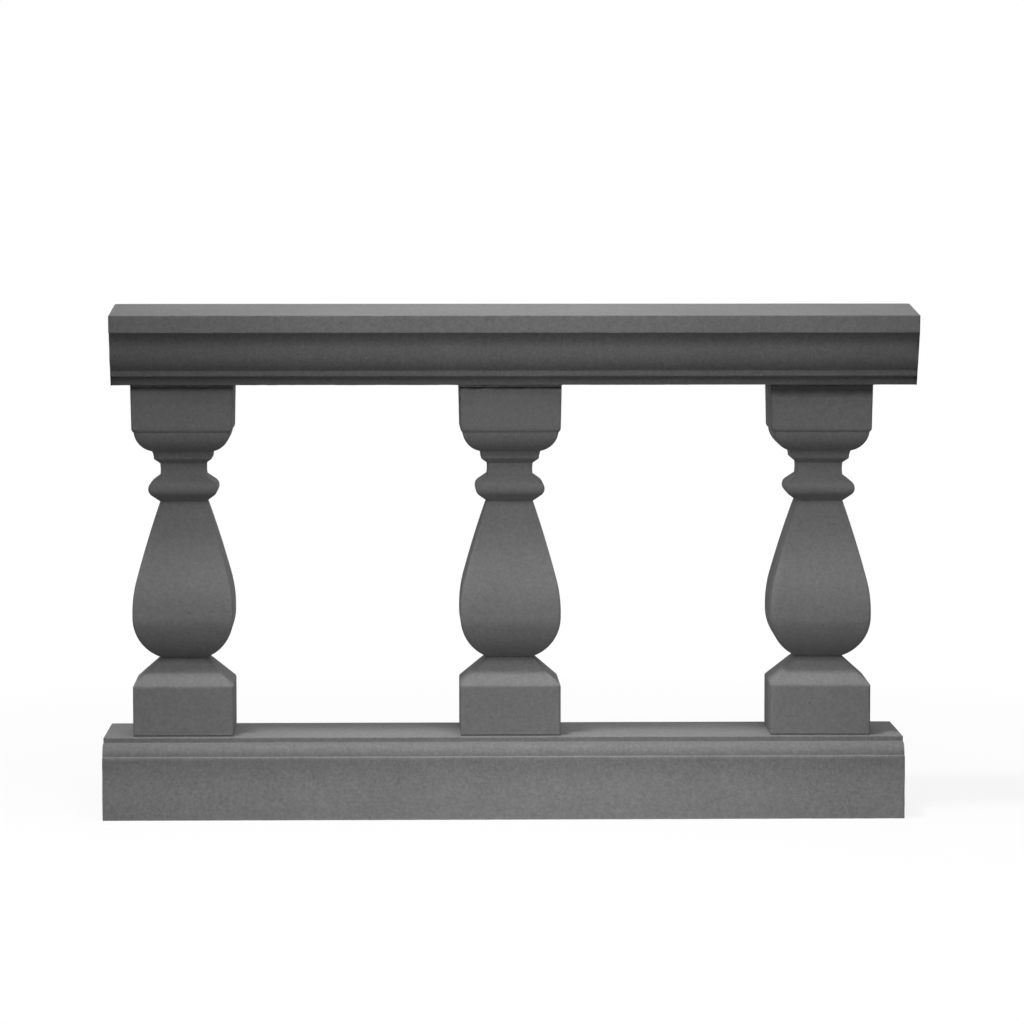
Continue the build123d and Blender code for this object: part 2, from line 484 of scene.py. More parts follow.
class MaterialSheet(NodeGroup):
    """A material in the making, with the same tools as a node group."""

    def __init__(self, name: str) -> None:
        """Opens a new material with a Principled BSDF and an output.

        Args:
            name: the material's name.
        """
        self.material = bpy.data.materials.new(name)
        self.material.use_nodes = True
        self.tree = self.material.node_tree
        self.tree.nodes.clear()
        self.shader = self.node("ShaderNodeBsdfPrincipled")
        self.output = self.node("ShaderNodeOutputMaterial")
        self.join(self.shader.outputs[0], self.output.inputs["Surface"])
        self.place = self.node("ShaderNodeTexCoord").outputs["Object"]

    def effect(self, tree: bpy.types.NodeTree, **values: float) -> bpy.types.Node:
        """Places a shared effect on the piece's own coordinates.

        Args:
            tree: the effect's node group.
            values: the group's inputs, by name.

        Returns:
            The group node.
        """
        made = self.node("ShaderNodeGroup", node_tree=tree)
        self.join(self.place, made.inputs["Vector"])
        for label, value in values.items():
            made.inputs[label].default_value = value
        return made

    def mark(self, name: str) -> bpy.types.NodeSocket:
        """Returns what a piece's attribute says at each point."""
        return self.node("ShaderNodeAttribute", attribute_name=name).outputs["Fac"]

    def along(self, axis: str) -> bpy.types.NodeSocket:
        """Returns the place on the piece along one axis."""
        parts = self.node("ShaderNodeSeparateXYZ")
        self.join(self.place, parts.inputs[0])
        return parts.outputs[axis]

    def ramp(
        self, value, reach: tuple[float, float], tones: tuple[float, float], kind: str = "LINEAR"
    ) -> bpy.types.NodeSocket:
        """Turns a value into a tone that runs from one level to another.

        Args:
            value: a socket.
            reach: where the ramp starts and ends.
            tones: the tones before and after it.
            kind: how it runs.

        Returns:
            The tone.
        """
        made = self.node("ShaderNodeMapRange", interpolation_type=kind)
        self.join(value, made.inputs["Value"])
        for label, number in zip(("From Min", "From Max", "To Min", "To Max"), reach + tones):
            made.inputs[label].default_value = number
        return made.outputs["Result"]

    def blend(self, factor, first, second) -> bpy.types.NodeSocket:
        """Mixes two colours.

        Args:
            factor: a socket or a number.
            first: a socket or a colour.
            second: a socket or a colour.

        Returns:
            The mixed colour.
        """
        made = self.node("ShaderNodeMix", data_type="RGBA")
        for number, value in ((0, factor), (6, first), (7, second)):
            self.feed(made.inputs[number], value)
        return made.outputs[2]

    def bump(self, height: bpy.types.NodeSocket, strength: float, distance: float) -> None:
        """Roughens the surface.

        Args:
            height: a socket.
            strength: how strongly the height shows.
            distance: depth that a height of 1 stands for.
        """
        made = self.node("ShaderNodeBump")
        made.inputs["Strength"].default_value = strength
        made.inputs["Distance"].default_value = distance
        self.join(height, made.inputs["Height"])
        self.join(made.outputs["Normal"], self.shader.inputs["Normal"])

    def toned(self, colour, tone) -> bpy.types.NodeSocket:
        """Multiplies a colour by a tone.

        Args:
            colour: a socket or a colour.
            tone: a socket.

        Returns:
            The toned colour.
        """
        made = self.node("ShaderNodeVectorMath", operation="SCALE")
        self.feed(made.inputs[0], colour[:3] if isinstance(colour, tuple) else colour)
        self.join(tone, made.inputs["Scale"])
        return made.outputs[0]


class WorldSheet(NodeGroup):
    """A world in the making, with the same tools as a node group."""

    def __init__(self, name: str) -> None:
        """Opens a new world with a white Background and an output.

        Args:
            name: the world's name.
        """
        world = bpy.data.worlds.new(name)
        bpy.context.scene.world = world
        world.use_nodes = True
        self.tree = world.node_tree
        self.tree.nodes.clear()
        self.light = self.node("ShaderNodeBackground")
        self.light.inputs["Color"].default_value = (1.0, 1.0, 1.0, 1.0)
        output = self.node("ShaderNodeOutputWorld")
        self.join(self.light.outputs[0], output.inputs["Surface"])


@dataclass(frozen=True)
class Effects:
    """The node groups that several finishes share."""

    mottling: bpy.types.NodeTree
    grain: bpy.types.NodeTree
    spots: bpy.types.NodeTree


@dataclass(frozen=True)
class JointShadow:
    """The painted shadow line and the painted shade below a baluster's head joint.

    Args:
        start: how far below the joint the line starts.
        solid: how far down it is equally dark.
        fade: height over which the painted shade fades out below that.
        loss: share of the stone's tone that it takes.
    """

    start: float = 0.0
    solid: float = 0.0
    fade: float = 1.0 * MM
    loss: float = 0.0


@dataclass(frozen=True)
class CastStone:
    """Fine-grained cast stone, cloudy, sandy and pricked with air holes.

    Args:
        name: the material's name.
        colour: its colour, clean.
        cloud: contrast of the clouds.
        sand: contrast of the sand.
        roughness: its roughness.
        specks: colour of the pale specks.
        pits: colour in the air holes.
        arris_wear_and_highlight: how much paler the arrises are, partly wear and partly a painted
            highlight.
        crease_shade: how much darker the creases are, as painted shade.
        palest_at: where along the bay the stone is palest.
        fading: how fast it darkens away from there.
        painted_low_light: how much paler painted light makes the lower part, or how much darker painted
            shade makes it if negative.
        painted_low_light_height: how high that painted light or shade reaches.
        painted_low_light_edge: height over which it thins out above that.
        painted_joint_light: how much paler painted light makes the stone just below a head joint, against
            the shade under the coping.
        painted_joint_light_height: how far down that painted light reaches.
    """

    name: str
    colour: Colour
    cloud: float = 0.1
    sand: float = 0.3
    roughness: float = 0.86
    specks: Colour = grey(0.34)
    pits: Colour = grey(0.02)
    arris_wear_and_highlight: float = 0.1
    crease_shade: float = 0.5
    palest_at: float = 0.05
    fading: float = 0.8
    painted_low_light: float = 0.0
    painted_low_light_height: float = 78 * MM
    painted_low_light_edge: float = 3 * MM
    painted_joint_light: float = 0.0
    painted_joint_light_height: float = 20 * MM

    def material(self, effects: Effects) -> bpy.types.Material:
        """Builds the material.

        Args:
            effects: the shared node groups.

        Returns:
            The material.
        """
        sheet = MaterialSheet(self.name)
        mottling = sheet.effect(effects.mottling, Scale=9.0, Contrast=self.cloud)
        grain = sheet.effect(effects.grain, Scale=700.0, Contrast=self.sand)
        holes = sheet.effect(effects.spots, Scale=130.0, Share=0.06, Radius=0.14)
        pale = sheet.effect(effects.spots, Scale=260.0, Share=0.04, Radius=0.22)
        tone = sheet.math("MULTIPLY", mottling.outputs["Tone"], grain.outputs["Tone"])
        # Paler arrises: partly wear, partly a painted highlight.
        worn_and_highlit = sheet.math("MULTIPLY_ADD", sheet.mark("arris"), self.arris_wear_and_highlight, tone)
        # Darker creases: painted shade.
        crease_shaded = sheet.math("MULTIPLY_ADD", sheet.mark("crease"), -self.crease_shade, 1.0)
        drifted = sheet.math("MULTIPLY", self.drift(sheet), sheet.math("MULTIPLY", worn_and_highlit, crease_shaded))
        # Painted light on the lower part, or painted shade where negative.
        low_lit = sheet.math("MULTIPLY", drifted, self.painted_low_light_tone(sheet))
        colour = sheet.toned(self.colour, sheet.math("MULTIPLY", low_lit, self.joint_tone(sheet)))
        colour = sheet.blend(sheet.math("MULTIPLY", pale.outputs["Mask"], 0.5), colour, self.specks)
        colour = sheet.blend(sheet.math("MULTIPLY", holes.outputs["Mask"], 0.8), colour, self.pits)
        sheet.join(colour, sheet.shader.inputs["Base Color"])
        rough = sheet.math("MULTIPLY_ADD", grain.outputs["Height"], 0.12, self.roughness - 0.06)
        sheet.join(rough, sheet.shader.inputs["Roughness"])
        sheet.shader.inputs["Specular IOR Level"].default_value = 0.3
        height = sheet.math("MULTIPLY_ADD", holes.outputs["Mask"], -2.0, grain.outputs["Height"])
        sheet.bump(height, 0.6, 0.3 * MM)
        return sheet.material

    def painted_low_light_tone(self, sheet: MaterialSheet) -> bpy.types.NodeSocket | float:
        """Builds the painted light, or painted shade where negative, on the lower part of a piece.

        Args:
            sheet: the stone's material.

        Returns:
            The tone, or plain 1 for stone without it.
        """
        if not self.painted_low_light:
            return 1.0
        reach = (self.painted_low_light_height, self.painted_low_light_height + self.painted_low_light_edge)
        return sheet.ramp(sheet.along("Z"), reach, (1.0 + self.painted_low_light, 1.0), "SMOOTHSTEP")

    def drift(self, sheet: MaterialSheet) -> bpy.types.NodeSocket:
        """Builds the slow drift of tone along the bay, palest near its middle.

        Args:
            sheet: the stone's material.

        Returns:
            A tone of 1 or less.
        """
        away = sheet.math("SUBTRACT", sheet.along("X"), self.palest_at)
        return sheet.math("MULTIPLY_ADD", sheet.math("MULTIPLY", away, away), -self.fading, 1.0)

    def joint_tone(self, sheet: MaterialSheet) -> bpy.types.NodeSocket | float:
        """Builds the tone below a head joint: a painted shadow line, painted shade below it, and painted
        light that lifts the shade under the coping.

        Args:
            sheet: the stone's material.

        Returns:
            The tone, or plain 1 for stone without that painted light. It reads the painted shadow's sizes
            from the piece.
        """
        if not self.painted_joint_light:
            return 1.0
        start, solid, fade, loss = (sheet.mark(f"stain_{part.name}") for part in fields(JointShadow))
        below = sheet.math("SUBTRACT", HEAD_JOINT, sheet.along("Z"))
        ragged = sheet.node("ShaderNodeTexNoise")
        sheet.join(sheet.place, ragged.inputs["Vector"])
        ragged.inputs["Scale"].default_value = 60.0
        uneven = sheet.math("SUBTRACT", ragged.outputs["Fac"], 0.5)
        wander = sheet.math("MULTIPLY", uneven, sheet.math("MULTIPLY", solid, 0.8))
        past = sheet.math("SUBTRACT", sheet.math("ADD", below, wander), solid)
        faded = sheet.node("ShaderNodeClamp")
        sheet.join(sheet.math("DIVIDE", past, fade), faded.inputs["Value"])
        left = sheet.math("SUBTRACT", 1.0, faded.outputs[0])
        # Painted shadow line and painted shade below the head joint.
        line = sheet.math("MULTIPLY", left, sheet.math("GREATER_THAN", below, start))
        shadowed = sheet.math("SUBTRACT", 1.0, sheet.math("MULTIPLY", line, loss))
        # Painted light that lifts the shade just below the joint.
        painted_lift = sheet.ramp(below, (0.0, self.painted_joint_light_height), (1.0 + self.painted_joint_light, 1.0))
        return sheet.math("MULTIPLY", shadowed, painted_lift)


@dataclass(frozen=True)
class Mortar:
    """Coarse mortar."""

    name: str
    colour: Colour

    def material(self, effects: Effects) -> bpy.types.Material:
        """Builds the material.

        Args:
            effects: the shared node groups.

        Returns:
            The material.
        """
        sheet = MaterialSheet(self.name)
        grain = sheet.effect(effects.grain, Scale=500.0, Contrast=0.35)
        sheet.join(sheet.toned(self.colour, grain.outputs["Tone"]), sheet.shader.inputs["Base Color"])
        sheet.shader.inputs["Roughness"].default_value = 0.95
        sheet.bump(grain.outputs["Height"], 0.8, 0.4 * MM)
        return sheet.material


@dataclass(frozen=True)
class DrawnSteel:
    """Plain drawn stainless steel, for the hidden dowels."""

    name: str
    colour: Colour

    def material(self, effects: Effects) -> bpy.types.Material:
        """Builds the material.

        Args:
            effects: the shared node groups.

        Returns:
            The material.
        """
        sheet = MaterialSheet(self.name)
        streaks = sheet.effect(effects.mottling, Scale=60.0, Contrast=0.12)
        sheet.join(sheet.toned(self.colour, streaks.outputs["Tone"]), sheet.shader.inputs["Base Color"])
        sheet.shader.inputs["Metallic"].default_value = 1.0
        rough = sheet.math("MULTIPLY", streaks.outputs["Tone"], 0.32)
        sheet.join(rough, sheet.shader.inputs["Roughness"])
        return sheet.material


@dataclass
class Casting:
    """One piece of cast stone that stands for a node of the frame.

    Args:
        node: name of the node.
        finish: the stone's material.
        slot: the record's slot for the stone; not used.
        wear: how uneven the casting is.
        stain: the painted shadow line and painted shade below its head joint.
    """

    node: str
    finish: bpy.types.Material
    slot: str
    wear: Unevenness = field(default_factory=Unevenness)
    stain: JointShadow = JointShadow()

    def section(self) -> Section:
        """Returns the casting's outline."""
        raise NotImplementedError

    def model(self, low: Vector, high: Vector) -> bpy.types.Object:
        """Models the casting between the corners of its node and returns it."""
        raise NotImplementedError

    def build(self) -> bpy.types.Object:
        """Models, wears and dresses the casting.

        Returns:
            The finished piece.
        """
        low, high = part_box(self.node)
        piece = self.model(low, high)
        piece.name = piece.data.name = f"{self.node}_casting"
        self.mark_arrises(piece)
        self.mark_joint_shadow(piece)
        self.wear.apply_to(piece, "arrises")
        self.dress(piece)
        log.info("%s: %d faces", piece.name, len(piece.data.polygons))
        return piece

    @staticmethod
    def mark_arrises(piece: bpy.types.Object) -> None:
        """Marks arrises and creases in attributes that the finish reads, and arrises in a group. The
        finish paints shade into the creases, and paler wear with a painted highlight onto the arrises.

        Args:
            piece: the casting.
        """
        gentle, sharp = math.radians(9), math.radians(30)
        shape = bmesh.new()
        shape.from_mesh(piece.data)
        weights = [0.0] * len(shape.verts)
        creases = [0.0] * len(shape.verts)
        for edge in shape.edges:
            if len(edge.link_faces) != 2:
                continue
            angle = edge.calc_face_angle_signed(0.0)
            for side, marks in ((1, weights), (-1, creases)):
                weight = min(1.0, max(0.0, (side * angle - gentle) / (sharp - gentle)))
                for vertex in edge.verts:
                    marks[vertex.index] = max(marks[vertex.index], weight)
        shape.free()
        group = piece.vertex_groups.new(name="arrises")
        for index, weight in enumerate(weights):
            if weight > 0.0:
                group.add([index], weight, "REPLACE")
        for name, marks in (("arris", weights), ("crease", creases)):
            attribute = piece.data.attributes.new(name, "FLOAT", "POINT")
            attribute.data.foreach_set("value", marks)

    def mark_joint_shadow(self, piece: bpy.types.Object) -> None:
        """Writes the sizes of the painted shadow below the head joint where the finish reads it.

        Args:
            piece: the casting.
        """
        for part in fields(JointShadow):
            attribute = piece.data.attributes.new(f"stain_{part.name}", "FLOAT", "POINT")
            value = getattr(self.stain, part.name)
            attribute.data.foreach_set("value", [value] * len(piece.data.vertices))

    def dress(self, piece: bpy.types.Object) -> None:
        """Gives the piece its finish, its shading and its place on the frame.

        Args:
            piece: the casting.
        """
        take_up(piece)
        piece.data.materials.clear()
        piece.data.materials.append(self.finish)
        bpy.ops.object.shade_smooth_by_angle(angle=SMOOTHEST_ARRIS)
        rest_the_hand()
        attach(piece, BODY)
        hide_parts(self.node)


@dataclass
class Rail(Casting):
    """A run moulding with square-cut ends.

    Args:
        ease: radius of the worn arrises along the run.
        end_ease: how far the arrises of the cut ends are eased back.
        pitch: distance between the rings of edges along the run.
    """

    ease: float = 1.6 * MM
    end_ease: float = 1.0 * MM
    pitch: float = 5.0 * MM

    def model(self, low: Vector, high: Vector) -> bpy.types.Object:
        """Draws the section at the left end and draws it out to the right end.

        Args:
            low: lowest corner of the node.
            high: highest corner of the node.

        Returns:
            The run, as a closed mesh.
        """
        right = self.section().eased(self.ease)
        left = [(-half, height) for half, height in reversed(right)]
        inner = low.x + self.end_ease
        piece = self.draw_outline(inner, right + left)
        length = high.x - low.x - 2 * self.end_ease
        bpy.ops.mesh.extrude_region_move(TRANSFORM_OT_translate={"value": (length, 0, 0)})
        bpy.ops.mesh.select_all(action="SELECT")
        bpy.ops.mesh.normals_make_consistent(inside=False)
        self.divide_run(piece, length)
        for side in (-1, 1):
            self.ease_end(piece, side)
        rest_the_hand()
        return piece

    @staticmethod
    def draw_outline(x: float, outline: list[tuple[float, float]]) -> bpy.types.Object:
        """Draws an outline across the run, from one corner to the next, and fills it.

        Args:
            x: place of the outline along the run.
            outline: points across the run and up.

        Returns:
            The piece, in edit mode, with its one face selected.
        """
        rest_the_hand()
        start = outline[0]
        bpy.ops.mesh.primitive_plane_add(size=MM, location=(x, start[0], start[1]))
        piece = bpy.context.object
        take_up(piece)
        bpy.ops.object.transform_apply(location=True, rotation=True, scale=True)
        bpy.ops.object.mode_set(mode="EDIT")
        bpy.ops.mesh.select_mode(type="VERT")
        bpy.ops.mesh.select_all(action="SELECT")
        bpy.ops.mesh.merge(type="CENTER")
        for before, after in zip(outline, outline[1:]):
            move = (0, after[0] - before[0], after[1] - before[1])
            bpy.ops.mesh.extrude_region_move(TRANSFORM_OT_translate={"value": move})
        bpy.ops.mesh.select_all(action="SELECT")
        bpy.ops.mesh.remove_doubles(threshold=0.01 * MM)
        bpy.ops.mesh.select_all(action="SELECT")
        bpy.ops.mesh.edge_face_add()
        return piece

    def divide_run(self, piece: bpy.types.Object, length: float) -> None:
        """Cuts the long edges of the run into even steps.

        Args:
            piece: the run, in edit mode.
            length: the run's length.
        """
        coarse = 10
        fine = round(length / self.pitch / coarse)
        for cuts, longest in ((coarse - 1, length * 0.9), (fine - 1, length / coarse * 0.9)):
            bpy.ops.mesh.select_mode(type="EDGE")
            bpy.ops.mesh.select_all(action="DESELECT")
            shape = bmesh.from_edit_mesh(piece.data)
            for edge in shape.edges:
                along = abs(edge.verts[0].co.x - edge.verts[1].co.x)
                edge.select_set(along > longest)
            bmesh.update_edit_mesh(piece.data)
            bpy.ops.mesh.subdivide(number_cuts=cuts)

    def ease_end(self, piece: bpy.types.Object, side: int) -> None:
        """Rounds the arrises of one cut end.

        Args:
            piece: the run, in edit mode.
            side: -1 for the left end and 1 for the right end.
        """
        bpy.ops.mesh.select_mode(type="FACE")
        bpy.ops.mesh.select_all(action="DESELECT")
        shape = bmesh.from_edit_mesh(piece.data)
        for face in shape.faces:
            face.select_set(face.normal.x * side > 0.99)
        bmesh.update_edit_mesh(piece.data)
        for depth, inset in ((0.65, 0.25), (0.35, 0.5)):
            bpy.ops.mesh.inset(thickness=inset * self.end_ease, depth=depth * self.end_ease)


@dataclass
class PlinthRail(Rail):
    """The plinth rail: a plain face, a quarter round, a fillet and a flat top."""

    face_height: float = 79.7 * MM
    ledge: float = 4 * MM
    round_radius: float = 15.5 * MM
    fillet_height: float = 6 * MM

    def section(self) -> Section:
        """Returns the plinth's outline, from the middle of its underside to the middle of its top."""
        low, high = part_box(self.node)
        face = high.y
        top = face - 2 * self.ledge - self.round_radius
        drawn = Section(0.0, low.z, step=6 * MM)
        drawn.line(face, 0.0).corner(0.0)
        drawn.line(face, self.face_height).corner(2.5 * MM).line(face - self.ledge, 0.0)
        drawn.step = 2 * MM
        drawn.curve(top + self.ledge, self.round_radius, Upright.FOOT)
        drawn.line(top, 0.0).line(top, self.fillet_height)
        drawn.step = 6 * MM
        return drawn.line(0.0, 0.0)


@dataclass
class CopingRail(Rail):
    """The coping: a band, a bead, an ogee, a fascia and a top sloped both ways."""

    band_height: float = 10.6 * MM
    bead_height: float = 8 * MM
    bead_proud: float = 7 * MM
    round_height: float = 23.6 * MM
    round_depth: float = 13 * MM
    ogee_flat: float = 7 * MM
    hollow_height: float = 15.8 * MM
    hollow_depth: float = 8 * MM
    soffit: float = 6 * MM
    fascia_height: float = 22.4 * MM

    def section(self) -> Section:
        """Returns the coping's outline, from the middle of its underside to its ridge."""
        low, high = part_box(self.node)
        fascia = high.y
        hollow_head = fascia - self.soffit
        ogee = hollow_head - self.hollow_depth
        bead = ogee - self.round_depth
        band = bead - self.bead_proud
        drawn = Section(0.0, low.z, step=6 * MM)
        drawn.line(band, 0.0).corner(0.2 * MM).line(band, self.band_height)
        drawn.line(bead, 0.0).line(bead, self.bead_height)
        drawn.step = 2.5 * MM
        drawn.curve(ogee, self.round_height, Upright.HEAD).line(ogee, self.ogee_flat)
        drawn.curve(hollow_head, self.hollow_height, Upright.FOOT)
        drawn.line(fascia, 0.0).corner(2.4 * MM).line(fascia, self.fascia_height).corner(0.9 * MM)
        drawn.step = 6 * MM
        return drawn.line(0.0, high.z - drawn.points[-1][1])


@dataclass
class Baluster(Casting):
    """A square vase baluster: the same outline on all four sides, mitred at the corners.

    Args:
        plan_ease: radius of the worn corners at the block, which narrows with the vase.
        ease: radius of the worn arrises of the outline.
        columns: how many faces each side is wide.
        turned: how far the baluster is laid off square to the rails, in degrees.
    """

    wear: Unevenness = field(default_factory=lambda: Unevenness(inward=0.5))
    plan_ease: float = 3 * MM
    ease: float = 1.6 * MM
    columns: int = 24
    turned: float = 0.0
    block_half: float = 62.8 * MM
    block_height: float = 61.5 * MM
    block_arris: float = 4.5 * MM
    foot_neck_half: float = 27.8 * MM
    foot_slope: float = 32.7 * MM
    belly_half: float = 62.8 * MM
    belly_under: float = 53.3 * MM
    belly_flat: float = 6 * MM
    shoulder_half: float = 56.9 * MM
    shoulder_at: float = 0.317
    waist_half: float = 28.9 * MM
    collar_slope: float = 8.2 * MM
    collar_edge_half: float = 39.6 * MM
    collar_half: float = 43.2 * MM
    collar_nose: float = 16 * MM
    neck_half: float = 28.7 * MM
    neck_hollow: float = 0.6 * MM
    neck_height: float = 15.5 * MM
    cap_under: float = 5.8 * MM
    cap_fillet_foot_half: float = 36.2 * MM
    cap_fillet_half: float = 38.2 * MM
    cap_fillet: float = 9.6 * MM
    cap_round_half: float = 60 * MM
    cap_round: float = 24.6 * MM
    cap_round_swell: float = 5.2 * MM
    die_turn: float = 5.1 * MM
    die_foot_half: float = 62.7 * MM
    die_head_half: float = 63.8 * MM
    die_height: float = 53.4 * MM

    def section(self) -> Section:
        """Returns the vase's outline, from its foot to its head."""
        low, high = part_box(self.node)
        above_waist = (
            2 * self.collar_slope + self.collar_nose + self.neck_height + self.cap_under
            + self.cap_fillet + self.cap_round + self.die_turn + self.die_height
        )
        below_taper = self.block_height + self.foot_slope + self.belly_under + self.belly_flat
        taper = high.z - low.z - below_taper - above_waist
        shoulder = self.shoulder_at * taper
        half_nose = self.collar_nose / 2
        drawn = Section(self.block_half, low.z, step=5 * MM)
        drawn.line(self.block_half, self.block_height - self.block_arris)
        drawn.step = self.block_arris
        drawn.line(self.block_half, self.block_arris).corner(self.block_arris)
        drawn.line(self.foot_neck_half, self.foot_slope)
        drawn.step = 3 * MM
        drawn.curve(self.belly_half, self.belly_under, Upright.HEAD)
        drawn.line(self.belly_half, self.belly_flat)
        drawn.step = 5 * MM
        drawn.curve(self.shoulder_half, shoulder, Upright.FOOT)
        drawn.bend(self.waist_half, taper - shoulder, drawn.lean_at_end())
        drawn.step = 2.5 * MM
        drawn.line(self.collar_edge_half, self.collar_slope)
        drawn.curve(self.collar_half, half_nose, Upright.HEAD)
        drawn.curve(self.collar_edge_half, half_nose, Upright.FOOT)
        drawn.line(self.neck_half, self.collar_slope)
        drawn.swell(self.neck_half, self.neck_height, -self.neck_hollow)
        drawn.line(self.cap_fillet_foot_half, self.cap_under)
        drawn.curve(self.cap_fillet_half, self.cap_fillet, Upright.FOOT)
        drawn.swell(self.cap_round_half, self.cap_round, self.cap_round_swell)
        drawn.curve(self.die_foot_half, self.die_turn, Upright.HEAD)
        drawn.step = 5 * MM
        return drawn.line(self.die_head_half, self.die_height)

    def model(self, low: Vector, high: Vector) -> bpy.types.Object:
        """Draws the vase up from a square, wider or narrower at each step of the outline.

        Args:
            low: lowest corner of the node.
            high: highest corner of the node.

        Returns:
            The vase, as a closed mesh.
        """
        middle = (low + high) / 2
        outline = self.section().eased(self.ease)
        rest_the_hand()
        bpy.ops.mesh.primitive_plane_add(
            size=2 * outline[0][0], location=(middle.x, middle.y, outline[0][1])
        )
        piece = bpy.context.object
        take_up(piece)
        bpy.ops.object.transform_apply(location=True, rotation=True, scale=True)
        bpy.ops.object.mode_set(mode="EDIT")
        bpy.ops.mesh.select_all(action="SELECT")
        bpy.ops.mesh.bevel(offset=self.plan_ease, segments=3, affect="VERTICES")
        for (half_a, height_a), (half_b, height_b) in zip(outline, outline[1:]):
            bpy.ops.mesh.extrude_region_move(
                TRANSFORM_OT_translate={"value": (0, 0, height_b - height_a)}
            )
            share = half_b / half_a
            bpy.ops.transform.resize(
                value=(share, share, 1), center_override=(middle.x, middle.y, height_b)
            )
        bpy.ops.mesh.select_all(action="SELECT")
        bpy.ops.mesh.normals_make_consistent(inside=False)
        self.divide_sides(piece)
        turn_upright(piece, self.turned, middle)
        return piece

    def divide_sides(self, piece: bpy.types.Object) -> None:
        """Cuts the level edges of the four sides into columns.

        Args:
            piece: the vase, in edit mode.
        """
        bpy.ops.mesh.select_mode(type="EDGE")
        bpy.ops.mesh.select_all(action="DESELECT")
        shape = bmesh.from_edit_mesh(piece.data)
        for edge in shape.edges:
            start, end = (vertex.co for vertex in edge.verts)
            level = abs(start.z - end.z) < 0.01 * MM
            edge.select_set(level and edge.calc_length() > self.neck_half)
        bmesh.update_edit_mesh(piece.data)
        bpy.ops.mesh.subdivide(number_cuts=self.columns - 1)


@dataclass
class MortarBed:
    """A thin bed of mortar between a baluster and one of its rails.

    Args:
        node: name of the node.
        finish: the mortar's material.
        spread: how far the mortar is squeezed out beyond the bed.
        rough_edge: how far its edge wanders.
        turned: how far the baluster is laid off square to the rails, in degrees.
        columns: how many faces each side is wide.
    """

    node: str
    finish: bpy.types.Material
    spread: float = 0.0
    rough_edge: float = 0.5 * MM
    turned: float = 0.0
    columns: int = 30

    def build(self) -> bpy.types.Object:
        """Models a slab with a ragged edge.

        Returns:
            The finished bed.
        """
        low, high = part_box(self.node)
        middle = (low + high) / 2
        size = high - low + Vector((2 * self.spread, 2 * self.spread, 0))
        rest_the_hand()
        bpy.ops.mesh.primitive_cube_add(size=1, location=middle, scale=size)
        piece = bpy.context.object
        piece.name = piece.data.name = f"{self.node}_mortar"
        take_up(piece)
        bpy.ops.object.transform_apply(location=True, rotation=True, scale=True)
        bpy.ops.object.mode_set(mode="EDIT")
        bpy.ops.mesh.select_mode(type="EDGE")
        bpy.ops.mesh.select_all(action="DESELECT")
        shape = bmesh.from_edit_mesh(piece.data)
        for edge in shape.edges:
            edge.select_set(edge.calc_length() > (high.x - low.x) / 2)
        bmesh.update_edit_mesh(piece.data)
        bpy.ops.mesh.subdivide(number_cuts=self.columns - 1)
        rest_the_hand()
        self.rake(piece, middle)
        turn_upright(piece, self.turned, middle)
        piece.data.materials.append(self.finish)
        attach(piece, BODY)
        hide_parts(self.node)
        log.info("%s: %d faces", piece.name, len(piece.data.polygons))
        return piece

    def rake(self, piece: bpy.types.Object, middle: Vector) -> None:
        """Roughens the bed's edge inwards.

        Args:
            piece: the bed.
            middle: its middle.
        """
        take_up(piece)
        texture = bpy.data.textures.get("raking") or bpy.data.textures.new("raking", "CLOUDS")
        texture.noise_scale = 4 * MM
        rim = piece.vertex_groups.new(name="rim")
        reach = max(abs(vertex.co.x - middle.x) for vertex in piece.data.vertices)
        edge = [
            vertex.index
            for vertex in piece.data.vertices
            if max(abs(vertex.co.x - middle.x), abs(vertex.co.y - middle.y)) > 0.999 * reach
        ]
        rim.add(edge, 1.0, "REPLACE")
        for axis in ("X", "Y"):
            modifier = piece.modifiers.new("raking", "DISPLACE")
            modifier.texture = texture
            modifier.texture_coords = "LOCAL"
            modifier.direction = "NORMAL"
            modifier.mid_level = 1.0
            modifier.strength = self.rough_edge / 2
            modifier.vertex_group = "rim"
            bpy.ops.object.modifier_apply(modifier=modifier.name)
        rest_the_hand()


@dataclass
class Dowels:
    """The hidden steel dowels, which keep their shape from the frame.

    Args:
        finish: the steel's material.
    """

    finish: bpy.types.Material

    def build(self) -> None:
        """Dresses every dowel."""
        for name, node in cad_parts.items():
            if "dowel" in name:
                node.data.materials.clear()
                node.data.materials.append(self.finish)
                log.info("%s: dressed", name)


